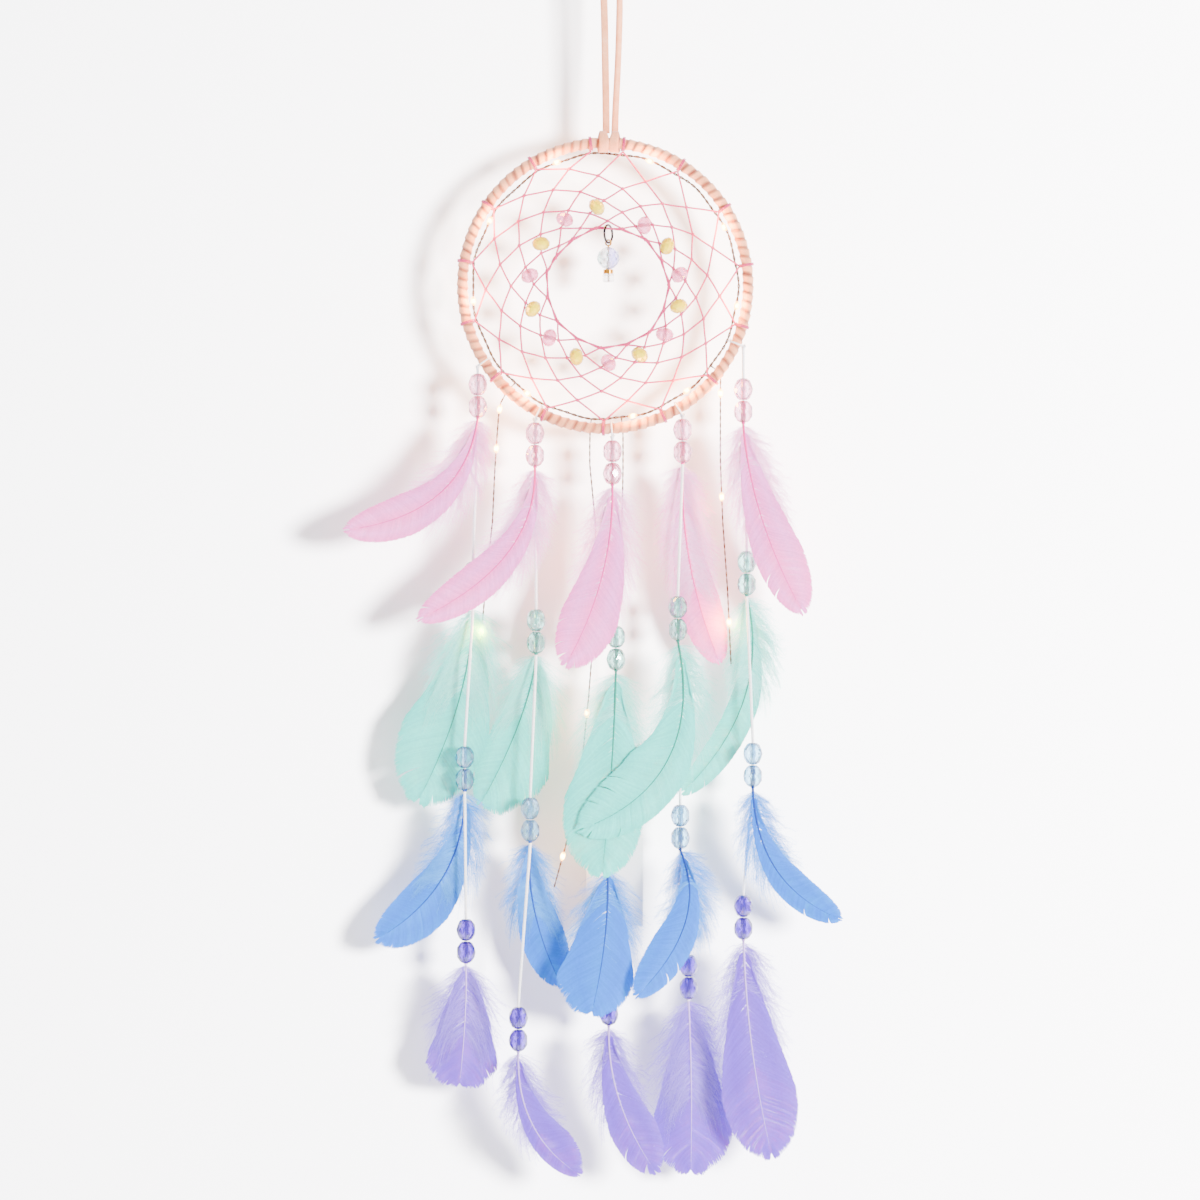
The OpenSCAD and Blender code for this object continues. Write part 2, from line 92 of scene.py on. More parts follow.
# Each feather: layer (in front when negative), bend and tip of its quill from the root,
# vane width right and left of the quill
FEATHERS = [
    [
        (-1, (-5, -41), (-56, -47), 9, 9),
        (-2, (2, -40), (-49, -64), 8, 9),
        (-1, (1, -40), (-20, -76), 13, 12),
        (2, (-1, -44), (16, -84), 9, 9),
        (-1, (2, -38), (25, -80), 12, 9),
    ],
    [
        (2, (-1, -40), (-24, -83), 17, 20),
        (3, (-3, -27), (-24, -64), 21, 10),
        (-2, (-1, -42), (-6, -86), 15, 19),
        (-3, (12, -60), (-42, -79), 11, 15),
        (3, (12, -46), (-28, -84), 7, 6),
    ],
    [
        (1, (0, -42), (-38, -63), 12, 10),
        (2, (-3, -28), (13, -61), 10, 9),
        (-1, (1, -30), (-7, -61), 15, 19),
        (-4, (13, -30), (-19, -61), 7, 10),
        (-1, (1, -41), (37, -55), 8, 6),
    ],
    [
        (1, (0, -27), (-3, -52), 17, 17),
        (-1, (-1, -34), (26, -51), 11, 5),
        (-2, (-1, -31), (20, -61), 11, 9),
        (1, (2, -37), (1, -74), 18, 18),
        (-1, (1, -45), (12, -91), 16, 16),
    ],
]

LAMP_ANGLES = [111.5, 70.5, 26.5, -8.5, -52, -78, -126, 186.5, 150.5]
# Each hanging wire: its angle on the hoop, its route, and its lamps as (stretch, share of it)
DROPS = {
    "left": (
        227,
        [(-46, 4, -184), (-47, 5.1, -190), (-48.5, 5.1, -212), (-49.5, 5.1, -234),
         (-52, 5.1, -258), (-54.5, 5.1, -284)],
        [(2, 0.45), (3, 0.6), (6, 0.85)],
    ),
    "right": (
        323,
        [(46.5, 4, -176), (46.5, 5.1, -184), (46.5, 5.1, -208), (47.5, 5.1, -234),
         (49.5, 5.1, -262), (51, 5.1, -294)],
        [(2, 0.5), (4, 0.6), (6, 0.45)],
    ),
    "middle": (
        264,
        [(-8.5, 4, -203), (-8.5, 5.1, -210), (-6, 5.1, -236), (-6.5, 5.1, -276),
         (-9, 5.1, -308), (-12.5, 5.1, -342), (-18, 5.1, -368), (-23.5, 5.1, -388)],
        [(4, 0.3), (6, 0.2), (8, 0.35)],
    ),
}
LEAD_DEG = 277
CASE_X, CASE_TOP, CASE_FRONT, CASE_DEPTH = 2, -367, 11, 10.4
LEAD_ROUTE = [
    (5.5, 4.3, -202), (5.5, 5, -212), (5, 8, -240), (3, 12, -280), (2, 15.4, -320),
    (2, 16.2, -350), (CASE_X, CASE_FRONT + CASE_DEPTH / 2, CASE_TOP + 0.1),
]


# ---------------------------------------------------------------- materials


class Look:
    """A node material under construction, with one Principled shader."""

    def __init__(self, name):
        self.material = bpy.data.materials.new(name)
        self.material.use_nodes = True
        self.tree = self.material.node_tree
        self.shader = self.tree.nodes["Principled BSDF"]

    def node(self, kind, **values):
        made = self.tree.nodes.new(kind)
        for key, value in values.items():
            if hasattr(made, key):
                setattr(made, key, value)
            else:
                made.inputs[key.replace("_", " ")].default_value = value
        return made

    def link(self, a, b):
        self.tree.links.new(a, b)

    def set(self, **values):
        for key, value in values.items():
            self.shader.inputs[key.replace("_", " ")].default_value = value
        return self

    def noise(self, scale, detail):
        place = self.node("ShaderNodeTexCoord")
        noise = self.node("ShaderNodeTexNoise", Scale=scale, Detail=detail)
        self.link(place.outputs["Object"], noise.inputs["Vector"])
        return noise.outputs["Fac"]

    def ramp(self, source, *stops):
        ramp = self.node("ShaderNodeValToRGB")
        elements = ramp.color_ramp.elements
        while len(elements) < len(stops):
            elements.new(0.5)
        for element, (place, colour) in zip(elements, stops):
            element.position = place
            element.color = (*colour, 1)
        self.link(source, ramp.inputs["Fac"])
        return ramp.outputs["Color"]

    def multiply(self, a, b):
        mix = self.node("ShaderNodeMix", data_type="RGBA", blend_type="MULTIPLY")
        mix.inputs[0].default_value = 1
        self.link(a, mix.inputs[6])
        self.link(b, mix.inputs[7])
        return mix.outputs[2]

    def bump(self, height, strength, distance):
        bump = self.node("ShaderNodeBump", Strength=strength, Distance=distance)
        self.link(height, bump.inputs["Height"])
        self.link(bump.outputs["Normal"], self.shader.inputs["Normal"])
        return self

    def colour(self, output):
        self.link(output, self.shader.inputs["Base Color"])
        return self


def suede():
    look = Look("suede_lace")
    mottle = look.ramp(
        look.noise(260, 4), (0.25, (0.86, 0.32, 0.15)), (0.55, (0.95, 0.40, 0.21)),
        (0.8, (0.98, 0.47, 0.28)),
    )
    nap = look.noise(2600, 2)
    worn = look.multiply(mottle, look.ramp(nap, (0.2, (0.8, 0.8, 0.8)), (0.7, (1, 1, 1))))
    # The lace's vertex colours: its tone, with painted shade in the wrap's creases, along the
    # knot's edges and towards the knot
    tone_and_painted_shade = look.node("ShaderNodeAttribute", attribute_name="tint")
    look.colour(look.multiply(worn, tone_and_painted_shade.outputs["Color"]))
    look.set(Roughness=0.92, Sheen_Weight=0.35, Sheen_Roughness=0.5, Specular_IOR_Level=0.2)
    return look.bump(nap, 0.35, 0.0002).material


def thread(name, dark, light):
    look = Look(name)
    fibre = look.noise(1800, 3)
    look.colour(look.ramp(fibre, (0.3, dark), (0.7, light)))
    look.set(Roughness=0.7, Sheen_Weight=0.2, Specular_IOR_Level=0.3)
    return look.bump(fibre, 0.3, 0.0001).material


def glass(name, deep, pale, clear=0.9, coat=0.3, glow=None, glow_strength=0.0):
    """Pressed glass: pale where a facet faces the eye, deep at its edges, and a little streaky."""
    look = Look(name)
    slant = look.node("ShaderNodeLayerWeight", Blend=0.35)
    body = look.ramp(slant.outputs["Facing"], (0.08, pale), (0.5, deep))
    streaks = look.ramp(look.noise(220, 2), (0.3, (0.86, 0.86, 0.86)), (0.65, (1, 1, 1)))
    look.colour(look.multiply(body, streaks))
    look.set(Roughness=0.03, Transmission_Weight=clear, IOR=1.5)
    look.set(Coat_Weight=coat, Coat_Roughness=0.03)
    if glow:
        look.set(Emission_Color=(*glow, 1), Emission_Strength=glow_strength)
    return look.material


def charm_glass():
    """Clear glass with a pearly coat; the coat's colour play is painted fixed across it as a
    painted reflection, teal on one side to lilac on the other.
    """
    look = Look("charm_glass")
    place = look.node("ShaderNodeTexCoord")
    split = look.node("ShaderNodeSeparateXYZ")
    look.link(place.outputs["Object"], split.inputs[0])
    span = look.node("ShaderNodeMapRange", From_Min=CHARM_LOW_X * MM, From_Max=CHARM_HIGH_X * MM)
    look.link(split.outputs["X"], span.inputs["Value"])
    look.colour(look.ramp(
        span.outputs["Result"], (0.0, (0.02, 0.42, 0.33)), (0.24, (0.80, 0.96, 0.94)),
        (0.5, (0.93, 0.93, 0.98)), (0.62, (0.42, 0.38, 0.92)), (1.0, (0.35, 0.42, 0.90)),
    ))
    look.set(Roughness=0.03, Transmission_Weight=0.8, IOR=1.5, Coat_Weight=0.6, Coat_Roughness=0.02)
    return look.material


def metal(name, dark, light, rough):
    look = Look(name)
    wear = look.noise(900, 4)
    look.colour(look.ramp(wear, (0.35, dark), (0.65, light)))
    look.set(Metallic=1.0, Roughness=rough)
    return look.bump(wear, 0.1, 0.00005).material


def plastic(name, dark, light, rough):
    look = Look(name)
    grain = look.noise(3500, 2)
    look.colour(look.ramp(look.noise(60, 3), (0.3, dark), (0.7, light)))
    look.set(Roughness=rough, Specular_IOR_Level=0.45)
    return look.bump(grain, 0.15, 0.00005).material


def feather_look(name, sheen):
    look = Look(name)
    tint = look.node("ShaderNodeAttribute", attribute_name="tint")
    streak = look.ramp(look.noise(900, 3), (0.25, (0.86, 0.86, 0.88)), (0.7, (1, 1, 1)))
    look.colour(look.multiply(tint.outputs["Color"], streak))
    look.set(Roughness=0.62, Sheen_Weight=sheen, Sheen_Roughness=0.4, Specular_IOR_Level=0.3)
    look.set(Subsurface_Weight=0.15, Subsurface_Scale=0.0006)
    return look.material


def lamp_glow(name, colour, strength):
    look = Look(name)
    look.colour(look.ramp(look.noise(500, 1), (0.3, (1, 0.9, 0.6)), (0.7, (1, 0.97, 0.85))))
    look.set(Roughness=0.2, Emission_Color=(*colour, 1), Emission_Strength=strength)
    return look.material


SUEDE = suede()
ROSE = thread("rose_thread", (0.40, 0.012, 0.08), (0.66, 0.04, 0.18))
WHITE_THREAD = thread("white_thread", (0.72, 0.70, 0.74), (0.95, 0.94, 0.96))
COPPER = metal("copper_wire", (0.07, 0.035, 0.025), (0.20, 0.11, 0.075), 0.45)
STEEL = metal("ring_steel", (0.45, 0.45, 0.46), (0.62, 0.62, 0.63), 0.35)
GUNMETAL = metal("dark_metal", (0.02, 0.018, 0.02), (0.07, 0.065, 0.07), 0.24)
GOLD = metal("gold_metal", (0.30, 0.11, 0.01), (0.58, 0.28, 0.04), 0.28)
YELLOW_GLASS = glass("yellow_glass", (0.60, 0.36, 0.0), (1.0, 0.80, 0.0), clear=0.2, coat=0.1)
PINK_GLASS = glass("pink_glass", (0.80, 0.06, 0.24), (0.97, 0.38, 0.58), clear=0.7)
CHARM_GLASS = charm_glass()
CLEAR_GLASS = glass("clear_glass", (0.90, 0.90, 0.94), (0.99, 0.99, 1.0))
BEAD_GLASS = {
    "pink": glass("pink_tier_glass", (0.85, 0.06, 0.26), (0.98, 0.66, 0.80)),
    "aqua": glass("aqua_tier_glass", (0.0, 0.15, 0.11), (0.50, 0.90, 0.83)),
    "blue": glass("blue_tier_glass", (0.0, 0.06, 0.30), (0.42, 0.74, 0.95)),
    "purple": glass("purple_tier_glass", (0.015, 0.002, 0.14), (0.16, 0.07, 0.66), clear=0.8),
}
LAMP_RESIN = glass(
    "lamp_resin", (1.0, 0.86, 0.55), (1.0, 0.93, 0.72), clear=0.7,
    glow=(1, 0.45, 0.03), glow_strength=9,
)
LAMP_CHIP = lamp_glow("lamp_chip", (1.0, 0.72, 0.3), 30)
WHITE_PLASTIC = plastic("white_plastic", (0.80, 0.79, 0.83), (0.88, 0.87, 0.90), 0.42)
GREY_PLASTIC = plastic("grey_plastic", (0.16, 0.16, 0.17), (0.22, 0.22, 0.23), 0.5)
BOARD = plastic("board_laminate", (0.03, 0.16, 0.08), (0.05, 0.24, 0.12), 0.35)
CELL = metal("cell_steel", (0.58, 0.58, 0.60), (0.75, 0.75, 0.76), 0.25)
CONTACT = metal("contact_metal", (0.60, 0.48, 0.25), (0.82, 0.68, 0.38), 0.3)
# The blue feathers have the least sheen, which keeps their colour deep
FEATHER_SHEEN = {"pink": 0.25, "aqua": 0.25, "blue": 0.1, "purple": 0.25}
FEATHER_LOOK = {tier: feather_look(f"{tier}_feather", FEATHER_SHEEN[tier]) for tier in TIERS}


# ---------------------------------------------------------------- mesh tools


def to_scene(name, data):
    made = bpy.data.objects.new(name, data)
    bpy.context.scene.collection.objects.link(made)
    return made


def quads(rings, sides, first=0, closed=False):
    """The faces from each ring of vertices to the next, and from last to first when closed."""
    faces = []
    for i in range(first, rings if closed else rings - 1):
        here, there = i * sides, (i + 1) % rings * sides
        for j in range(sides):
            k = (j + 1) % sides
            faces.append((here + j, here + k, there + k, there + j))
    return faces


def caps(rings, sides):
    """The faces that close a skin at its first ring and its last."""
    return [tuple(reversed(range(sides))), tuple(range((rings - 1) * sides, rings * sides))]


def joined(rings):
    return [v for ring in rings for v in ring]


class Shape:
    """Vertices, faces and an optional colour for each vertex, gathered in millimetres."""

    def __init__(self):
        self.verts, self.faces, self.tints = [], [], []

    def add(self, verts, faces, tint=None):
        start = len(self.verts)
        self.verts.extend(verts)
        self.faces.extend([tuple(start + i for i in face) for face in faces])
        self.tints.extend([tint or (1, 1, 1)] * len(verts))

    def sweep(self, path, section, closed=False, tint=None, side=BACK):
        """A skin along path. section(i) gives the outline at point i as (across, deep) pairs."""
        path = [Vector(p) for p in path]
        n, rings = len(path), []
        for i, p in enumerate(path):
            before = path[(i - 1) % n] if closed or i else path[0]
            after = path[(i + 1) % n] if closed or i < n - 1 else path[-1]
            along = (after - before).normalized()
            across = side.cross(along)
            if across.length < 1e-6:
                across = Vector((1, 0, 0)).cross(along)
            across.normalize()
            deep = along.cross(across)
            rings.append([p + across * a + deep * b for a, b in section(i)])
        m = len(rings[0])
        faces = quads(n, m, closed=closed)
        if not closed:
            faces += caps(n, m)
        self.add(joined(rings), faces, tint)

    def tube(self, path, radius, sides=8, closed=False, tint=None, side=BACK):
        size = radius if callable(radius) else lambda i: radius
        self.sweep(
            path, lambda i: [(size(i) * cos(t), size(i) * sin(t)) for t in around(sides)],
            closed, tint, side,
        )

    def twisted(self, path, radius, pitch, sides, step, side=BACK):
        """Two plies of thread twisted together, as one grooved tube."""

        def section(i):
            turn = 2 * pi * i * step / pitch
            grooves = [0.72 + 0.28 * abs(cos(t - turn)) ** 0.7 for t in around(sides)]
            return [
                (radius * g * cos(t), radius * g * sin(t))
                for g, t in zip(grooves, around(sides))
            ]

        self.sweep(resample(path, step), section, side=side)

    def build(self, name, material, body, nodes, slot, smooth=True):
        """A Blender object of the shape. It rides on body and stands for the CAD nodes."""
        mesh = bpy.data.meshes.new(name)
        mesh.from_pydata([Vector(v) * MM for v in self.verts], [], self.faces)
        if material in (SUEDE, *FEATHER_LOOK.values()):
            tint = mesh.color_attributes.new("tint", "FLOAT_COLOR", "POINT")
            flat = [c for t in self.tints for c in (*t, 1)]
            tint.data.foreach_set("color", flat)
        mesh.polygons.foreach_set("use_smooth", [smooth] * len(mesh.polygons))
        mesh.materials.append(material)
        obj = to_scene(name, mesh)
        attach(obj, body)
        if nodes:
            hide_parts(*nodes)
        return obj


def around(sides):
    return [2 * pi * j / sides for j in range(sides)]


def resample(path, step, closed=False):
    """Points a step apart, or nearly, along a polyline."""
    path = [Vector(p) for p in path]
    if closed:
        path = path + [path[0]]
    lengths = [(b - a).length for a, b in zip(path, path[1:])]
    total = sum(lengths)
    count = max(2, round(total / step))
    out, k, done = [], 0, 0.0
    for i in range(count if closed else count + 1):
        want = total * i / count
        while k < len(lengths) - 1 and done + lengths[k] < want:
            done += lengths[k]
            k += 1
        share = (want - done) / lengths[k] if lengths[k] else 0
        out.append(path[k].lerp(path[k + 1], min(1, share)))
    return out


def smooth_path(points, per):
    """A Catmull-Rom curve through the points."""
    pts = [Vector(p) for p in points]
    pts = [2 * pts[0] - pts[1]] + pts + [2 * pts[-1] - pts[-2]]
    out = []
    for i in range(1, len(pts) - 2):
        a, b, c, d = pts[i - 1 : i + 3]
        for j in range(per):
            t = j / per
            out.append(
                0.5 * (2 * b + (c - a) * t + (2 * a - 5 * b + 4 * c - d) * t * t
                       + (3 * b - a - 3 * c + d) * t**3)
            )
    return out + [pts[-2]]


def rad(deg):
    return math.radians(deg)


def turned(u, v, t):
    """The direction at angle t from u towards v."""
    return u * cos(t) + v * sin(t)


def on_hoop(r, deg, y=0.0):
    return Vector((HOOP_X + r * cos(rad(deg)), y, HOOP_Z + r * sin(rad(deg))))


def directions(angle):
    """Out from the hoop's middle and on round the hoop, at an angle from its right."""
    c, s = cos(angle), sin(angle)
    return Vector((c, 0, s)), Vector((-s, 0, c))


def metres(path, step):
    """A cord's path every few millimetres, in metres."""
    return [tuple(p * MM) for p in resample(path, step)]


def path_length(path):
    return sum((Vector(b) - Vector(a)).length for a, b in zip(path, path[1:])) * MM


# ---------------------------------------------------------------- camera, wall and lights

VIEW_CENTRE = Vector((-4.2, 0, -267))
VIEW_WIDTH = 504
CAMERA_FAR = 1700


def camera():
    data = bpy.data.cameras.new("camera")
    data.sensor_width = 36
    data.lens = 36 * CAMERA_FAR / VIEW_WIDTH
    data.clip_end = 20
    made = to_scene("camera", data)
    made.location = (VIEW_CENTRE - BACK * CAMERA_FAR) * MM
    made.rotation_euler = (rad(90), 0, 0)
    bpy.context.scene.camera = made


# The key light and the wall's own light stand at one place and have one size
KEY_PLACE, KEY_SIZE = (1.15, -1.5, -0.15), 0.45
STUDIO_COLOUR, STUDIO_STRENGTH = (0.95, 0.95, 1.0, 1), 0.85
# Half the wall's width and the heights of its foot and top, in metres
WALL_HALF, WALL_LOW, WALL_HIGH = 4, -1.6, 3.0


def light_data(name, kind, power, colour):
    data = bpy.data.lights.new(name, kind)
    data.energy, data.color = power, colour
    return data


def area_light(name, place, target, size, power, colour):
    data = light_data(name, "AREA", power, colour)
    data.shape, data.size = "DISK", size
    light = to_scene(name, data)
    light.location = place
    light.rotation_euler = (Vector(target) - Vector(place)).to_track_quat("-Z", "Y").to_euler()
    return light


def backdrop():
    """The pale wall, clear from behind so that the back of the piece can be seen."""
    look = Look("wall_paint")
    look.colour(look.ramp(look.noise(3, 2), (0.3, (0.90, 0.895, 0.91)), (0.7, (0.93, 0.925, 0.94))))
    look.set(Roughness=0.95, Specular_IOR_Level=0.1)
    clear = look.node("ShaderNodeBsdfTransparent")
    mix = look.node("ShaderNodeMixShader")
    facing = look.node("ShaderNodeNewGeometry")
    look.link(facing.outputs["Backfacing"], mix.inputs[0])
    look.link(look.shader.outputs[0], mix.inputs[1])
    look.link(clear.outputs[0], mix.inputs[2])
    look.link(mix.outputs[0], look.tree.nodes["Material Output"].inputs[0])
    mesh = bpy.data.meshes.new("wall")
    half, y, low, high = WALL_HALF, WALL_Y * MM, WALL_LOW, WALL_HIGH
    mesh.from_pydata(
        [(-half, y, low), (half, y, low), (half, y, high), (-half, y, high),
         (-half, -half, low), (half, -half, low)],
        [], [(0, 1, 2, 3), (4, 5, 1, 0)],
    )
    mesh.materials.append(look.material)
    wall = to_scene("wall", mesh)
    return wall


def lights(wall):
    world = bpy.data.worlds.new("studio")
    world.use_nodes = True
    sky = world.node_tree.nodes["Background"].inputs
    sky["Color"].default_value = STUDIO_COLOUR
    sky["Strength"].default_value = STUDIO_STRENGTH
    bpy.context.scene.world = world
    target = (0, 0, -0.26)
    area_light("key", KEY_PLACE, target, KEY_SIZE, 120, (1.0, 0.985, 0.97))
    area_light("fill", (-1.3, -1.7, 0.3), target, 1.6, 20, (0.93, 0.92, 1.0))
    area_light("back", (0.3, 1.5, 0.3), target, 1.2, 9, (1.0, 1.0, 1.0))
    # A second lamp at the key's place, which lights only the wall
    wash = area_light("wall_wash", KEY_PLACE, target, KEY_SIZE, 230, (1.0, 0.99, 0.985))
    only = bpy.data.collections.new("wall_only")
    only.objects.link(wall)
    wash.light_linking.receiver_collection = only


# ---------------------------------------------------------------- hanging lace and wrapped hoop


# A flat lace's outline, as shares of half its width and thickness
FLAT_OUTLINE = [
    (1, -0.35), (1, 0.35), (0.86, 1), (0.3, 0.94), (-0.3, 0.97), (-0.86, 1),
    (-1, 0.35), (-1, -0.35), (-0.86, -1), (-0.3, -0.95), (0.3, -0.97), (0.86, -1),
]


def flat_section(width, thick, turn=0.0):
    """A flat lace's outline with soft edges, turned about its line."""
    w, t = width / 2, thick / 2
    c, s = cos(turn), sin(turn)
    return [(a * w * c - b * t * s, a * w * s + b * t * c) for a, b in FLAT_OUTLINE]


def hanging_lace():
    knot_top = -HANG_DROP + WRAP_R + 0.45 + LACE_T
    route = [
        (-1.6, knot_top, 0), (-1.7, -60, 0), (-2, -40, 0), (-2.4, -20, 0), (-2.9, -9, 45),
        (-3.4, -3.6, 90), (-2.6, -1, 90), (-1.2, 0.3, 90), (0, LACE_T / 2, 90),
        (1.2, 0.3, 90), (2.6, -1, 90), (3.5, -3.6, 90), (3.9, -9, 120), (4, -20, 142),
        (3.4, -40, 138), (2.4, -60, 148), (2.0, knot_top, 165),
    ]
    path = smooth_path([(x, 0, z) for x, z, _ in route], 8)
    turns = smooth_path([(t, 0, 0) for _, _, t in route], 8)
    shape = Shape()
    shape.sweep(path, lambda i: flat_section(LACE_W, LACE_T, rad(turns[i].x)))
    section = len(shape.verts) // len(path)
    for i, vert in enumerate(shape.verts):
        # Painted shade: the lace darkens more and more down towards the knot; it is also darker at
        # its edges
        knot_shade = min(1, max(0, (-35 - vert.z) / 35))
        edge = i % section in (0, 1, 2, 5, 6, 7, 8, 11)
        shape.tints[i] = blend_colours([(1, 1, 1), (0.90, 0.66, 0.58)], 0.5 * knot_shade + 0.45 * edge)
    lace = shape.build("lace_loop", SUEDE, "hanger", ["hanging_lace"], slot="suede_lace")
    path_length(path)
    metres(path, 1.0)


# The knot's painted shade along the edges of its lace, and its tint on its faces
KNOT_EDGE_SHADE, KNOT_FACE = (0.42, 0.22, 0.17), (1, 0.92, 0.9)


def knot():
    """Lark's head: two broad folds over the hoop, side by side, with the loop's bar behind."""
    shape = Shape()
    for deg, width in ((90.9, 4.3), (86.1, 4.1)):
        centre = on_hoop(HOOP_R, deg)
        out, along = directions(rad(deg))
        rings = []
        for t in around(40):
            r = WRAP_R + 0.45 + LACE_T / 2 + 1.1 * max(0, cos(t)) ** 3
            radial = turned(out, BACK, t)
            pinch = 1 - 0.32 * max(0, cos(t)) ** 2
            outline = flat_section(width * pinch, LACE_T)
            slant = 0.5 * sin(t) * (1 if deg > 90 else -1)
            rings.append([centre + radial * (r + b) + along * (a + slant) for a, b in outline])
        n, m = len(rings), len(rings[0])
        shape.add(joined(rings), quads(n, m, closed=True))
        # Painted shade along both edges of each fold
        shape.tints[-n * m:] = [KNOT_EDGE_SHADE if j in (0, 1, 6, 7) else KNOT_FACE for j in range(m)] * n
    behind = WRAP_R + LACE_T + 1.2
    bar = smooth_path(
        [(-4.0, behind - 1.2, -76.4), (-3.4, behind - 0.2, -75.6), (-1.6, behind + 0.1, -75.1),
         (0.6, behind + 0.15, -75), (2.6, behind + 0.1, -75.1), (4.0, behind - 0.2, -75.6),
         (4.5, behind - 1.2, -76.4)], 6,
    )
    shape.sweep(bar, lambda i: flat_section(3.2, 1.1))
    shape.build("larks_head_knot", SUEDE, "hanger", ["lace_knot"], slot="suede_lace")


# The lace round the hoop: its turns, the points along each turn, and the points round the ring
WRAP_TURNS, WRAP_STEPS, WRAP_SIDES = 98, 16, 22
# How much of the red, green and blue the painted shade in a crease between two turns takes away
CREASE_SHADE_LOSS = (0.72, 0.86, 0.84)


def wrapped_hoop():
    """The hoop's lace, wound as a helix whose turns overlap like shingles."""
    turns, sides = WRAP_TURNS, WRAP_SIDES
    rings = turns * WRAP_STEPS
    dice = random.Random(4)
    lift, lean, tone, crease_shade_depth = (
        [dice.uniform(low, high) for _ in range(turns + 2)]
        for low, high in ((-0.06, 0.06), (-0.10, 0.10), (0.90, 1.0), (0.75, 1.0))
    )
    shape = Shape()
    verts, tints = [], []
    for i in range(rings):
        out, _ = directions(2 * pi * i / rings)
        centre = Vector((HOOP_X, 0, HOOP_Z)) + out * HOOP_R
        for j in range(sides):
            t = 2 * pi * j / sides
            place = (turns * i / rings + t / (2 * pi)) % turns
            turn, share = int(place), place % 1
            share = min(1, max(0, share + lean[turn] * sin(t)))
            ridge = 0.55 * share - 0.62 * max(0, (share - 0.84) / 0.16) ** 1.4
            r = WRAP_R - 0.38 + ridge + lift[turn]
            # Painted shade in the crease where one turn meets the next
            dark = max(0, 1 - min(share, (1 - share) * 0.8) / 0.24) ** 0.6 * crease_shade_depth[turn]
            tints.append(tuple(tone[turn] * (1 - loss * dark) for loss in CREASE_SHADE_LOSS))
            verts.append(centre + turned(out, BACK, t) * r)
    shape.add(verts, quads(rings, sides, closed=True))
    shape.tints = tints
    shape.build("lace_wrapping", SUEDE, "hoop", ["hoop_wrap"], slot="suede_lace")


# ---------------------------------------------------------------- net

# The net thread's radius, its twist's pitch, and the radius of the coils in its knots and hitches
NET_R, NET_PITCH = 0.4, 2.1
KNOT_COIL_R, KNOT_SIZE = 0.33, 0.72
HITCH_COIL_R = 0.3
# How far a run of thread between two knots bows to the side
NET_SLACK = 0.15


def lookup(n, table):
    for (a, va), (b, vb) in zip(table, table[1:]):
        if n <= b:
            return va + (vb - va) * max(0, n - a) / (b - a)
    return table[-1][1]


def web_knot(n):
    if n < WEB_HOOKS:
        r = HOOK_R
    else:
        r = WEB_HOLE_R + (HOOK_R - WEB_HOLE_R) * lookup(n, WEB_RADII)
    a = rad(WEB_START + n * WEB_STEP)
    shift = WEB_SHIFT * n / WEB_LAST
    return Vector((HOOP_X + r * cos(a) + shift.x, 0, HOOP_Z + r * sin(a) + shift.y))


def web_edges():
    for m in range(WEB_LAST - WEB_HOOKS + 1):
        yield m, m + WEB_HOOKS
        yield m + WEB_HOOKS, m + 1
    for m in range(WEB_LAST - WEB_HOOKS + 1, WEB_LAST):
        yield m, m + 1
    yield WEB_LAST, WEB_LAST - WEB_HOOKS + 1


def net():
    dice = random.Random(11)
    shape = Shape()
    for m, n in web_edges():
        a, b = web_knot(m), web_knot(n)
        beaded = n == m + WEB_HOOKS and m in WEB_BEADS
        slack = 0 if beaded else dice.uniform(-NET_SLACK, NET_SLACK)
        across = (b - a).cross(BACK).normalized()
        middle = (a + b) / 2 + across * slack
        path = [a, a.lerp(middle, 0.55), middle, middle.lerp(b, 0.45), b]
        shape.twisted(smooth_path(path, 3), NET_R, NET_PITCH, sides=8, step=0.45)
    for n in range(WEB_HOOKS, WEB_LAST + 1):
        overhand(shape, web_knot(n), rad(WEB_START + n * WEB_STEP), KNOT_SIZE, dice)
    # The thread goes round the hole a second time, wound over the last row
    last = [web_knot(n) for n in range(WEB_LAST - WEB_HOOKS + 1, WEB_LAST + 1)]
    ring = []
    for i, p in enumerate(last):
        q = last[(i + 1) % len(last)]
        for j in range(14):
            along = j / 14
            point = p.lerp(q, along)
            out = (point - Vector((HOOP_X + 1.2, 0, HOOP_Z - 0.8))).normalized()
            turn = 2 * pi * (i + along) * 0.5
            ring.append(point + turned(out * 0.62, BACK * 0.5, turn))
    shape.tube(resample(ring, 0.45, True), 0.32, 7, closed=True)
    for n in range(WEB_HOOKS):
        hitch(shape, WEB_START + n * WEB_STEP, WRAP_R + 0.42, HITCH_COIL_R, NET_PITCH, 2, 0.6)
    shape.build("net_thread", ROSE, "hoop", ["web_thread"], slot="rose_thread")


def overhand(shape, at, lean, size, dice):
    """A small tight knot: a thread round the crossing, and over it."""
    u, v = directions(lean + dice.uniform(-0.4, 0.4))
    path = []
    for t in around(18):
        path.append(
            at + u * size * 0.62 * sin(t) + v * size * 0.5 * sin(2 * t) * 0.8
            + BACK * size * 0.75 * cos(t)
        )
    shape.tube(path, KNOT_COIL_R, 6, closed=True, side=Vector((0.3, 0.5, 0.8)))


def hitch(shape, deg, r, radius, pitch, loops, spacing):
    """Thread wound round the wrapped hoop in loops, spacing apart, at distance r from the ring."""
    centre = on_hoop(HOOP_R, deg)
    out = on_hoop(1, deg) - on_hoop(0, deg)
    along = out.cross(BACK)
    path = []
    count = 30 * loops
    for i in range(count + 1):
        t = 2 * pi * i / 30 + pi
        slide = (i / count - 0.5) * spacing * loops
        path.append(centre + turned(out, BACK, t) * r + along * slide)
    shape.twisted(path, radius, pitch, sides=8, step=0.5, side=along)


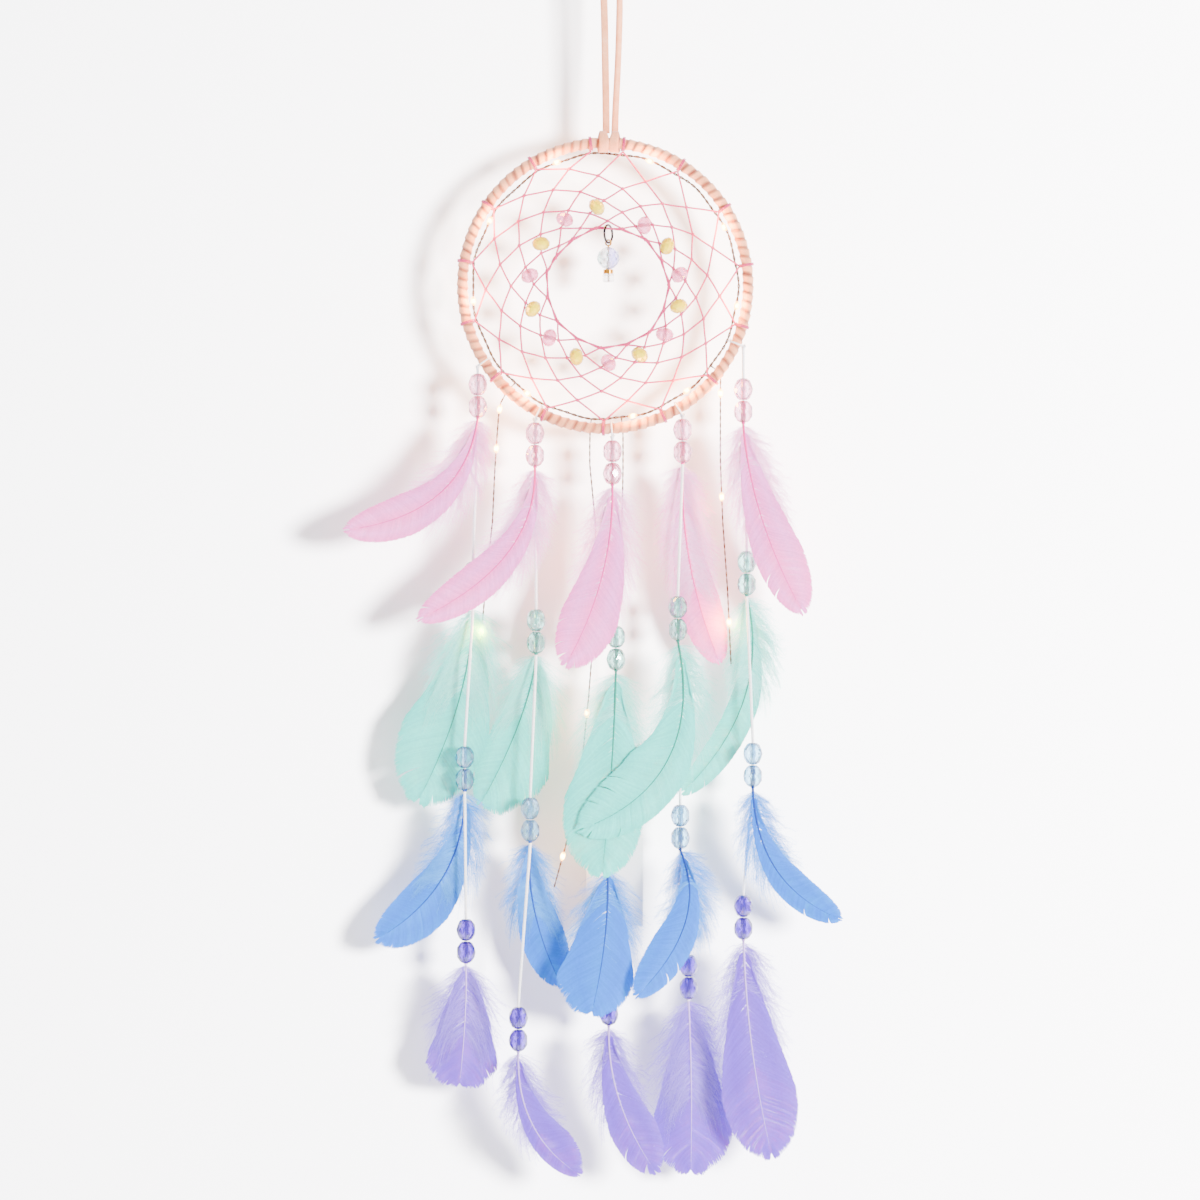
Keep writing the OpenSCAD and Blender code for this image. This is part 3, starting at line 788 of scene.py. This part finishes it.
def faceted(shape, centre, axis, d, length, bore, sides, rows, turn=0.0):
    """A cut glass bead: flat facets round an axis, with a hole through it.

    rows are its levels, as shares of half its (length, diameter).
    """
    axis = Vector(axis).normalized()
    u = axis.orthogonal().normalized()
    v = axis.cross(u)
    levels = []
    for k, (h, w) in enumerate(rows):
        offset = pi / sides * (k % 2) + turn
        levels.append([
            Vector(centre) + axis * h * length / 2 + turned(u, v, t + offset) * w * d / 2
            for t in around(sides)
        ])
    inner = [
        [Vector(centre) + axis * h * length / 2 + turned(u, v, t) * bore / 2 for t in around(sides)]
        for h in (rows[-1][0], rows[0][0])
    ]
    faces = []
    for i, (a, b, e, c) in enumerate(quads(len(levels), sides)):
        if i // sides % 2:
            faces += [(a, b, e), (a, e, c)]
        else:
            faces += [(a, b, c), (b, e, c)]
    # From the top row into the hole, down it, and out to the bottom row
    faces += quads(len(levels) + 2, sides, first=len(levels) - 1, closed=True)
    shape.add(joined(levels + inner), faces)


# A cut bead stands a little proud of its round CAD bead, so that its flats lie on it
BEAD_PROUD = 0.5
STRAND_FACETS = 9
NET_BEAD_D, NET_BEAD_LEN, NET_BEAD_BORE, NET_FACETS = 7.6, 5.6, 1.5, 10
RONDELLE = [(-1, 0.42), (-0.78, 0.72), (-0.28, 1.0), (0.28, 1.0), (0.78, 0.72), (1, 0.42)]
OVAL_BEAD = [
    (-1, 0.40), (-0.84, 0.66), (-0.44, 0.93), (0, 1.0), (0.44, 0.93), (0.84, 0.66), (1, 0.40),
]


def net_beads():
    for parity, name, material, slot in (
        (0, "web_beads_yellow", YELLOW_GLASS, "yellow_glass"),
        (1, "web_beads_pink", PINK_GLASS, "pink_glass"),
    ):
        shape = Shape()
        for n in list(WEB_BEADS)[parity::2]:
            a, b = web_knot(n), web_knot(n + WEB_HOOKS)
            faceted(
                shape, (a + b) / 2, b - a, NET_BEAD_D, NET_BEAD_LEN, NET_BEAD_BORE, NET_FACETS,
                RONDELLE, 0.2 * n,
            )
        shape.build(name + "_cut", material, "hoop", [name], slot=slot, smooth=False)


# ---------------------------------------------------------------- charm

# The jump ring's turn from edge on, and the cube's size, bevel and drop below the CAD bead's middle
RING_TURN = 27
CUBE_W, CUBE_H, CUBE_BEVEL, CUBE_DROP = 4.8, 3.4, 0.45, 0.3
# How far a corner of the cube may reach, as a share of half its width
CUBE_CORNER = 1.28
CHARM_BEAD_D, CHARM_BEAD_H, CHARM_FACETS, CHARM_BORE = 9.5, 9.4, 11, 1.0
CHARM_BEAD_ROWS = [
    (-1, 0.18), (-0.86, 0.52), (-0.55, 0.84), (-0.15, 1.0),
    (0.15, 1.0), (0.55, 0.84), (0.86, 0.52), (1, 0.18),
]


def middle(node):
    low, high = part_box(node)
    return (low + high) / 2 / MM


def charm():
    bead, cube = Shape(), Shape()
    faceted(
        bead, middle("charm_bead"), UP, CHARM_BEAD_D, CHARM_BEAD_H, CHARM_BORE, CHARM_FACETS,
        CHARM_BEAD_ROWS,
    )
    bead.build("charm_bead_cut", CHARM_GLASS, "charm", ["charm_bead"], "charm_glass", smooth=False)
    place = middle("charm_cube") - UP * CUBE_DROP
    square_bead(cube, place, CUBE_W, CUBE_H, CHARM_BORE, CUBE_BEVEL)
    cube.build("charm_cube_cut", CLEAR_GLASS, "charm", ["charm_cube"], "charm_glass", smooth=False)
    keep("charm_pin", GOLD)
    keep("charm_cap", GOLD)
    jump_ring()


def jump_ring():
    """The ring hangs a little turned, so from the front it is a narrow oval."""
    low, high = (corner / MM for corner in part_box("jump_ring"))
    wire_r = (high.x - low.x) / 2
    ring_r = (high.y - low.y) / 2 - wire_r
    across = Vector((sin(rad(RING_TURN)), cos(rad(RING_TURN)), 0))
    shape = Shape()
    path = [middle("jump_ring") + turned(across, UP, t) * ring_r for t in around(40)]
    shape.tube(path, wire_r, 10, closed=True)
    shape.build("jump_ring_wire", GUNMETAL, "charm_ring", ["jump_ring"], slot="dark_metal")


def square_bead(shape, centre, width, height, bore, bevel):
    """A square bead with bevelled edges and a round hole."""
    w, h = width / 2, height / 2
    sides = 16
    rings = []
    for z, half in ((-h, w - bevel), (-h + bevel, w), (h - bevel, w), (h, w - bevel)):
        ring = []
        for t in around(sides):
            c, s = cos(t), sin(t)
            k = min(half / max(abs(c), abs(s)), half * CUBE_CORNER)
            ring.append(Vector(centre) + Vector((c * k, s * k, z)))
        rings.append(ring)
    for z in (h, -h):
        rings.append([Vector(centre) + Vector((cos(t) * bore / 2, sin(t) * bore / 2, z))
                      for t in around(sides)])
    shape.add(joined(rings), quads(len(rings), sides, closed=True))


def keep(node, material):
    """A CAD node that keeps its shape, with a better material."""
    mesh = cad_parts[node].data
    mesh.materials.clear()
    mesh.materials.append(material)


# ---------------------------------------------------------------- strands


def strand_angle(k):
    return -math.degrees(math.acos((STRAND_TIE_X[k] - HOOP_X) / (HOOP_R + TIE_R)))


def strand_route(k):
    route = [on_hoop(HOOP_R + TIE_R, strand_angle(k))]
    for x, z in STRAND_TIERS[k]:
        top = z + BEAD_H / 2 + 1
        route += [Vector((x, 0, top)), Vector((x, 0, top - PAIR_H - 2))]
    return route


def strand(k):
    body, route = f"strand_{k + 1}", strand_route(k)
    tie = Shape()
    hitch(tie, strand_angle(k), WRAP_R + 0.5, 0.4, 2.6, 1, 0.8)
    overhand(tie, route[0], 0.4, 1.3, random.Random(k))
    tied = tie.build(f"{body}_tie", WHITE_THREAD, body, [f"{body}_thread"], slot="white_thread")
    shape = Shape()
    shape.twisted(route, THREAD_D / 2, 2.6, sides=9, step=0.4)
    made = shape.build(f"{body}_twine", WHITE_THREAD, body, [f"{body}_thread"], slot="white_thread")
    path_length(route)
    metres(route, 2.0)
    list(strand_beads(k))


def strand_beads(k):
    made = []
    for tier, (x, z) in zip(TIERS, STRAND_TIERS[k]):
        shape = Shape()
        for below in (0, 1):
            centre = (x, 0, z - below * (BEAD_H + BEAD_GAP))
            turn = 0.35 * below + 0.2 * k
            faceted(
                shape, centre, UP, BEAD_D + BEAD_PROUD, BEAD_H, BEAD_BORE, STRAND_FACETS, OVAL_BEAD,
                turn,
            )
        name = f"strand_{k + 1}_{tier}_beads"
        made.append(shape.build(
            name, BEAD_GLASS[tier], f"strand_{k + 1}", [f"strand_{k + 1}_beads"],
            slot="bead_glass", smooth=False,
        ))
        made.append(dyed_binding(k, tier, x, z))
    return made


# Radius of the dyed binding, where it fills the hole of the lower bead
BINDING_R = 0.78


def dyed_binding(k, tier, x, z):
    """The dyed thread that binds the feather on and fills the lower bead's hole."""
    top = z - BEAD_GAP - 0.52 * BEAD_H
    low = z - BEAD_GAP - 1.5 * BEAD_H - 0.6
    shape = Shape()
    steps = 26
    path = [Vector((x, 0, top + (low - top) * i / steps)) for i in range(steps + 1)]
    shape.tube(path, lambda i: BINDING_R + 0.08 * (i % 2), 10, tint=FEATHER_TINTS[tier][3])
    return shape.build(f"strand_{k + 1}_{tier}_binding", FEATHER_LOOK[tier], f"strand_{k + 1}", [],
                       slot=f"{tier}_feather")


# ---------------------------------------------------------------- feathers

# Colours from the down at the root to the tip, and the quill's
FEATHER_TINTS = {
    "pink": ((1.0, 0.60, 0.88), (1.0, 0.25, 0.68), (0.98, 0.17, 0.56), (0.80, 0.05, 0.32)),
    "aqua": ((0.36, 0.92, 0.84), (0.07, 0.74, 0.62), (0.04, 0.64, 0.54), (0.0, 0.24, 0.17)),
    "blue": ((0.08, 0.42, 0.95), (0.0, 0.14, 0.70), (0.0, 0.17, 0.76), (0.0, 0.04, 0.30)),
    "purple": ((0.40, 0.26, 0.88), (0.15, 0.05, 0.62), (0.18, 0.07, 0.68), (0.46, 0.30, 0.72)),
}
# The share of each tier's feathers that is down
DOWN_SHARE = {"pink": 0.60, "aqua": 0.42, "blue": 0.52, "purple": 0.56}
# Barbs on each side of the quill, and of loose ones, for each millimetre of quill and of down
BARBS_PER_MM, DOWN_PER_MM = 2.8, 8
# The vane's first and last barb, as shares of the quill, and the quill's radius
FIRST_BARB, LAST_BARB = 0.05, 0.975
QUILL_R = 0.45
# Where the vane may split, how often, and how far its clumps are drawn together
SPLIT_FROM, SPLIT_CHANCE, SPLIT_PULL, CLOSED_PULL = 0.6, 0.17, (0.2, 0.5), 0.05
# Fine hairs on a loose barb, counted from its root
HAIRS = range(2, 26)


def blend_colours(stops, share):
    place = max(0, min(0.999, share)) * (len(stops) - 1)
    i = int(place)
    return tuple(a + (b - a) * (place - i) for a, b in zip(stops[i], stops[i + 1]))


def vane_width(s):
    """The vane's share of its width along the quill: widest at two thirds, with a round end."""
    rise = sin(pi / 2 * min(1, max(0, s) / 0.62)) ** 0.85
    fall = max(0, (min(1, s) - 0.68) / 0.32)
    return rise * math.sqrt(max(0, 1 - fall**2.4))


# How far a barb leans along the quill for each unit of the vane's width, and its width along it
BARB_LEAN = 1.5
BARB_WIDTHS = [0.4, 0.55, 0.66, 0.7, 0.7, 0.68, 0.62, 0.5, 0.2]


class Quill:
    """A feather's own line and the directions along and across it."""

    def __init__(self, feather, root):
        self.layer, bend, tip, self.right, self.left = feather
        self.bend, self.tip, self.root = Vector(bend), Vector(tip), root
        side = -1 if self.layer < 0 else 1
        self.y_root = side * QUILL_Y
        self.y_layer = side * (LAYER_FIRST + (abs(self.layer) - 1) * LAYER_STEP)
        self.length = sum((self.flat((i + 1) / 20) - self.flat(i / 20)).length for i in range(20))

    def flat(self, s):
        return 2 * s * (1 - s) * self.bend + s * s * self.tip

    def depth(self, s):
        t = min(1, max(0, s) / 0.22)
        return self.y_root + (self.y_layer - self.y_root) * t

    def at(self, s):
        p = self.flat(s)
        return Vector((self.root[0] + p.x, self.depth(s), self.root[1] + p.y))

    def along(self, s):
        s = min(1, max(0, s))
        d = ((1 - s) * self.bend + s * (self.tip - self.bend)).normalized()
        return Vector((d.x, 0, d.y))

    def across(self, s):
        d = self.along(s)
        return Vector((-d.z, 0, d.x))


def ribbon(shape, points, widths, face, tint_at):
    """A flat barb: two vertices for each point, facing roughly towards face."""
    verts, tints = [], []
    n = len(points)
    for i, p in enumerate(points):
        ahead = points[min(i + 1, n - 1)] - points[max(i - 1, 0)]
        across = ahead.cross(face)
        if across.length < 1e-9:
            across = Vector((1, 0, 0))
        across = across.normalized() * widths[i] / 2
        verts += [p + across, p - across]
        tints += [tint_at(i / (n - 1))] * 2
    shape.add(verts, [(a, a + 1, a + 3, a + 2) for a in range(0, 2 * n - 2, 2)])
    shape.tints[-2 * n:] = tints


def bezier(a, b, c, d, t):
    return (1 - t) ** 3 * a + 3 * t * (1 - t) ** 2 * b + 3 * t * t * (1 - t) * c + t**3 * d


def clumps(count, dice):
    """How far each barb is drawn towards its clump's middle: a closed vane, split near its end."""
    out = []
    while len(out) < count:
        size = dice.randint(14, 40)
        opens = len(out) > SPLIT_FROM * count and dice.random() < SPLIT_CHANCE
        split = dice.uniform(*SPLIT_PULL) if opens else CLOSED_PULL
        out += [(0.5 - (j + 0.5) / size) * split for j in range(size)]
    return out[:count]


def feather(k, tier_index):
    tier = TIERS[tier_index]
    dice = random.Random(100 * tier_index + k)
    x, z = STRAND_TIERS[k][tier_index]
    root = (x, z + BEAD_H / 2 - PAIR_H - 0.4)
    quill = Quill(FEATHERS[tier_index][k], root)
    down, low, high, quill_tint = FEATHER_TINTS[tier]
    shape = Shape()
    length, downy_part = quill.length, DOWN_SHARE[tier]
    for side, reach in ((1, quill.right), (-1, quill.left)):
        count = int(length * BARBS_PER_MM)
        drawn = clumps(count, dice)
        for i in range(count):
            s = FIRST_BARB + (LAST_BARB - FIRST_BARB) * (i + dice.uniform(-0.2, 0.2)) / count
            barb(shape, quill, s, side, reach, drawn[i] * 0.05, dice, (down, low, high), downy_part)
        for _ in range(int(length * downy_part * DOWN_PER_MM)):
            share = dice.random()
            downy(shape, quill, 0.01 + downy_part * share, side, reach, dice, (down, low), share)
    spine = [quill.at(i / 30) for i in range(29)]
    shape.tube(spine, lambda i: QUILL_R * (1 - i / 32) + 0.05, 7, tint=quill_tint)
    node = f"strand_{k + 1}_{tier}_feather"
    shape.build(
        f"strand_{k + 1}_{tier}_plume", FEATHER_LOOK[tier], f"strand_{k + 1}_{tier}", [node],
        slot=f"{tier}_feather",
    )


def barb(shape, quill, s, side, reach, draw, dice, colours, down_share):
    """One barb of the vane, from the quill at s out to the vane's edge further along."""
    ahead = BARB_LEAN * reach / quill.length * (1 - 0.75 * s)
    end_s = s + ahead * (0.35 + 0.65 * min(1, s / 0.25)) + draw
    past = max(0, end_s - 1)
    edge = min(1, end_s)
    out = quill.across(edge) * side
    wide = reach * vane_width(edge) if past == 0 else 0
    tip_gap = 1 - s
    if past > 0 or edge > 0.9:
        wide = max(wide, reach * 0.62 * min(1, tip_gap / 0.24))
    wide *= dice.uniform(0.985, 1.01)
    # In the downy part the vane is narrow, and fewer and fewer barbs are hooked into it
    loose = max(0, 1 - s / down_share)
    if dice.random() < 0.35 * loose:
        return
    wide *= 1 - 0.45 * loose
    base = quill.at(s)
    tip = quill.at(edge) + out * wide
    if past > 0:
        tip += quill.along(1) * dice.uniform(-0.4, 0.8)
    reach_here = (tip - base).length
    if reach_here < 1.5:
        return
    bow = BACK * (0.35 if quill.layer > 0 else -0.35)
    start_way = (quill.across(s) * side * 0.8 + quill.along(s) * 0.6).normalized()
    end_way = (quill.along(edge) * 0.85 + out * 0.35).normalized()
    b = base + start_way * reach_here * 0.33 + bow
    c = tip - end_way * reach_here * 0.35 + bow
    jig = BACK * dice.uniform(-0.10, 0.10)
    fray = dice.uniform(0.95 - 0.25 * loose, 1.0)
    points = [bezier(base, b, c, tip, t / 8 * fray) + jig for t in range(9)]
    shade = dice.uniform(0.90, 1.05)
    root_share = max(0, min(1, s / 0.3))
    down, low, high = colours
    base_tint = blend_colours([low, low, high], root_share)
    end_tint = blend_colours([down, low, high], root_share)

    def tint_at(t):
        return tuple(min(1, c * shade) for c in blend_colours([base_tint, low, end_tint], t))

    face = (BACK + quill.along(s) * 0.2).normalized()
    ribbon(shape, points, BARB_WIDTHS, face, tint_at)


def downy(shape, quill, s, side, reach, dice, colours, share):
    """A loose, wavy barb with its own fine hairs. share is its place in the downy part."""
    base = quill.at(s)
    full = sin(pi * (0.22 + 0.6 * share))
    span = (0.45 * reach + 9) * dice.uniform(0.5, 1.3) * full
    out = quill.across(s) * side
    ahead = quill.along(s)
    lean = dice.uniform(0.3, 1.7)
    sway, phase, speed = dice.uniform(0.2, 0.9), dice.uniform(0, 6), dice.uniform(0.8, 1.8)
    depth = dice.uniform(-0.25, 0.25)
    points = []
    for i in range(10):
        t = i / 9
        wave = sin(phase + speed * 2 * pi * t) * sway * t
        sideways = out * span * t * (1 - 0.2 * t * lean)
        forward = ahead * (span * lean * t * (0.5 + 0.5 * t) + wave)
        points.append(base + sideways + forward + BACK * (depth * t))
    down, low = colours
    shade = dice.uniform(0.94, 1.05)
    tint = blend_colours([down, low], dice.uniform(0.0, 0.8))
    tint = tuple(min(1, c * shade) for c in tint)
    ribbon(shape, points, [0.15 - 0.01 * i for i in range(10)], BACK, lambda t: tint)
    for i in HAIRS:
        t = i / HAIRS.stop * 9
        k = min(8, int(t))
        at = points[k].lerp(points[k + 1], t - k)
        way = (points[k + 1] - points[k]).normalized()
        hair = way.cross(BACK) * (1 if i % 2 else -1) * dice.uniform(0.5, 1.9)
        hair += way * dice.uniform(0.6, 2.6)
        shape.add([at - way * 0.04, at + way * 0.04, at + hair], [(0, 1, 2)], tint)


# ---------------------------------------------------------------- fairy lights


def lamp(resin, chip, at, along):
    """A drop of clear resin over a tiny lit chip on the wire."""
    at, along = Vector(at), Vector(along).normalized()
    side = along.orthogonal().normalized()
    other = along.cross(side)
    sides, rows = 12, 9
    rings = []
    for i in range(rows + 1):
        t = pi * i / rows
        r = LAMP_D / 2 * sin(t) ** 0.8 * (1 + 0.12 * cos(t)) if 0 < i < rows else 0.32
        h = -LAMP_LEN / 2 * cos(t)
        rings.append([at + along * h + turned(side, other, a) * r for a in around(sides)])
    resin.add(joined(rings), quads(rows + 1, sides) + caps(rows + 1, sides))
    chip.tube([at - along * 0.8, at - along * 0.6, at + along * 0.6, at + along * 0.8],
              lambda i: (0.25, 0.55, 0.55, 0.25)[i], 8, side=side)


# The point light at each lamp, in watts and metres
GLOW_POWER, GLOW_SIZE = 0.05, 0.0025
GLOW_COLOUR = (1.0, 0.40, 0.04)


def glow(at, body):
    """The warm light that one lamp throws on what is round it."""
    data = light_data("lamp_glow", "POINT", GLOW_POWER, GLOW_COLOUR)
    data.shadow_soft_size = GLOW_SIZE
    light = to_scene("lamp_glow", data)
    light.location = Vector(at) * MM
    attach(light, body)


# How far each of the two wires lies from the pair's middle, and the pitch of their twist
TWIN_SPREAD, TWIN_PITCH = 0.17, 6.0


def twin_wire(shape, route):
    """Two lacquered wires, loosely twisted together."""
    line = resample(route, 0.8)
    for phase in (0, pi):
        path = []
        for i, p in enumerate(line):
            ahead = (line[min(i + 1, len(line) - 1)] - line[max(i - 1, 0)]).normalized()
            u = BACK.cross(ahead).normalized()
            v = ahead.cross(u)
            turn = phase + 2 * pi * i * 0.8 / TWIN_PITCH
            path.append(p + turned(u, v, turn) * TWIN_SPREAD)
        shape.tube(path, 0.2, 6)


def wire_route(deg, route):
    """From the light ring over the back of the hoop, and down the route."""
    start = [on_hoop(LIGHT_R, deg, LIGHT_Y + WIRE_D + 0.3), on_hoop(HOOP_R + 1, deg, WRAP_R + 0.8)]
    return start + [Vector(p) for p in route]


def light_wire(name, node, body, whole, far_end, **pieces):
    shape = Shape()
    twin_wire(shape, whole)
    wire = shape.build(name, COPPER, body, [node], slot="copper_wire")
    path_length(whole)
    metres(whole, 2.0)


def drop(name, deg, route, marks):
    body = f"{name}_drop"
    whole = wire_route(deg, route)
    resin, chip = Shape(), Shape()
    for stretch, share in marks:
        a, b = whole[stretch:stretch + 2]
        lamp(resin, chip, a.lerp(b, share), b - a)
        glow(a.lerp(b, share) - BACK * 3, body)
    lamps = resin.build(f"{body}_resin", LAMP_RESIN, body, [f"{body}_lamps"], slot="lamp_resin")
    chips = chip.build(f"{body}_chips", LAMP_CHIP, body, [], slot="lamp_resin")
    light_wire(f"{body}_twin", f"{body}_wire", body, whole, "bare", with_pieces=[lamps, chips])


# The points along the ring of wire, and how often its two wires twist round each other
RING_POINTS, RING_TWISTS = 300, 59


def hoop_lights():
    """The wire round the inside of the hoop, drawn in a little between the net's hitches."""
    ring = []
    for i in range(RING_POINTS):
        deg = 360 * i / RING_POINTS
        ring.append(on_hoop(LIGHT_R + 0.35 * cos(rad(deg * WEB_HOOKS)), deg, LIGHT_Y))
    shape = Shape()
    for phase in (0, pi):
        path = []
        for i, p in enumerate(ring):
            out = (p - Vector((HOOP_X, LIGHT_Y, HOOP_Z))).normalized()
            turn = phase + 2 * pi * RING_TWISTS * i / RING_POINTS
            path.append(p + turned(out * 0.34, BACK * 0.2, turn))
        shape.tube(resample(path, 0.9, True), 0.27, 6, closed=True)
    shape.build("hoop_twin_wire", COPPER, "hoop", ["light_wire_hoop"], slot="copper_wire")
    resin, chip = Shape(), Shape()
    for deg in LAMP_ANGLES:
        lamp(resin, chip, on_hoop(LIGHT_R, deg, LIGHT_Y), directions(rad(deg))[1])
        glow(on_hoop(LIGHT_R - 1, deg, -4.5), "hoop")
    resin.build("hoop_lamp_resin", LAMP_RESIN, "hoop", ["hoop_lamps"], slot="lamp_resin")
    chip.build("hoop_lamp_chips", LAMP_CHIP, "hoop", [], slot="lamp_resin")


def battery_pack():
    whole = wire_route(LEAD_DEG, LEAD_ROUTE)
    light_wire("lead_twin_wire", "battery_lead", "battery_pack", whole, "object")
    soft_edged("battery_case", WHITE_PLASTIC, 0.5, "battery_pack")
    soft_edged("battery_cover", WHITE_PLASTIC, 0.18, "cover")
    soft_edged("switch_knob", GREY_PLASTIC, 0.25, "switch")
    keep("coin_cells", CELL)
    keep("cell_contacts", CONTACT)
    keep("circuit_board", BOARD)


def soft_edged(node, material, radius, body):
    """The CAD piece's own shape with moulded, rounded edges."""
    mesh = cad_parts[node].data.copy()
    mesh.materials.clear()
    mesh.materials.append(material)
    obj = to_scene(node + "_moulded", mesh)
    weld = obj.modifiers.new("weld", "WELD")
    weld.merge_threshold = 0.00001
    bevel = obj.modifiers.new("bevel", "BEVEL")
    bevel.width = radius * MM
    bevel.segments = 3
    bevel.limit_method = "ANGLE"
    bevel.angle_limit = rad(50)
    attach(obj, body)
    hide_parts(node)


camera()
hanging_lace()
for index in range(5):
    strand(index)
for name, (deg, route, marks) in DROPS.items():
    drop(name, deg, route, marks)
battery_pack()
knot()
wrapped_hoop()
keep("hoop_ring", STEEL)
net()
net_beads()
charm()
hoop_lights()
for tier_index in range(len(TIERS)):
    for index in range(5):
        feather(index, tier_index)
lights(backdrop())
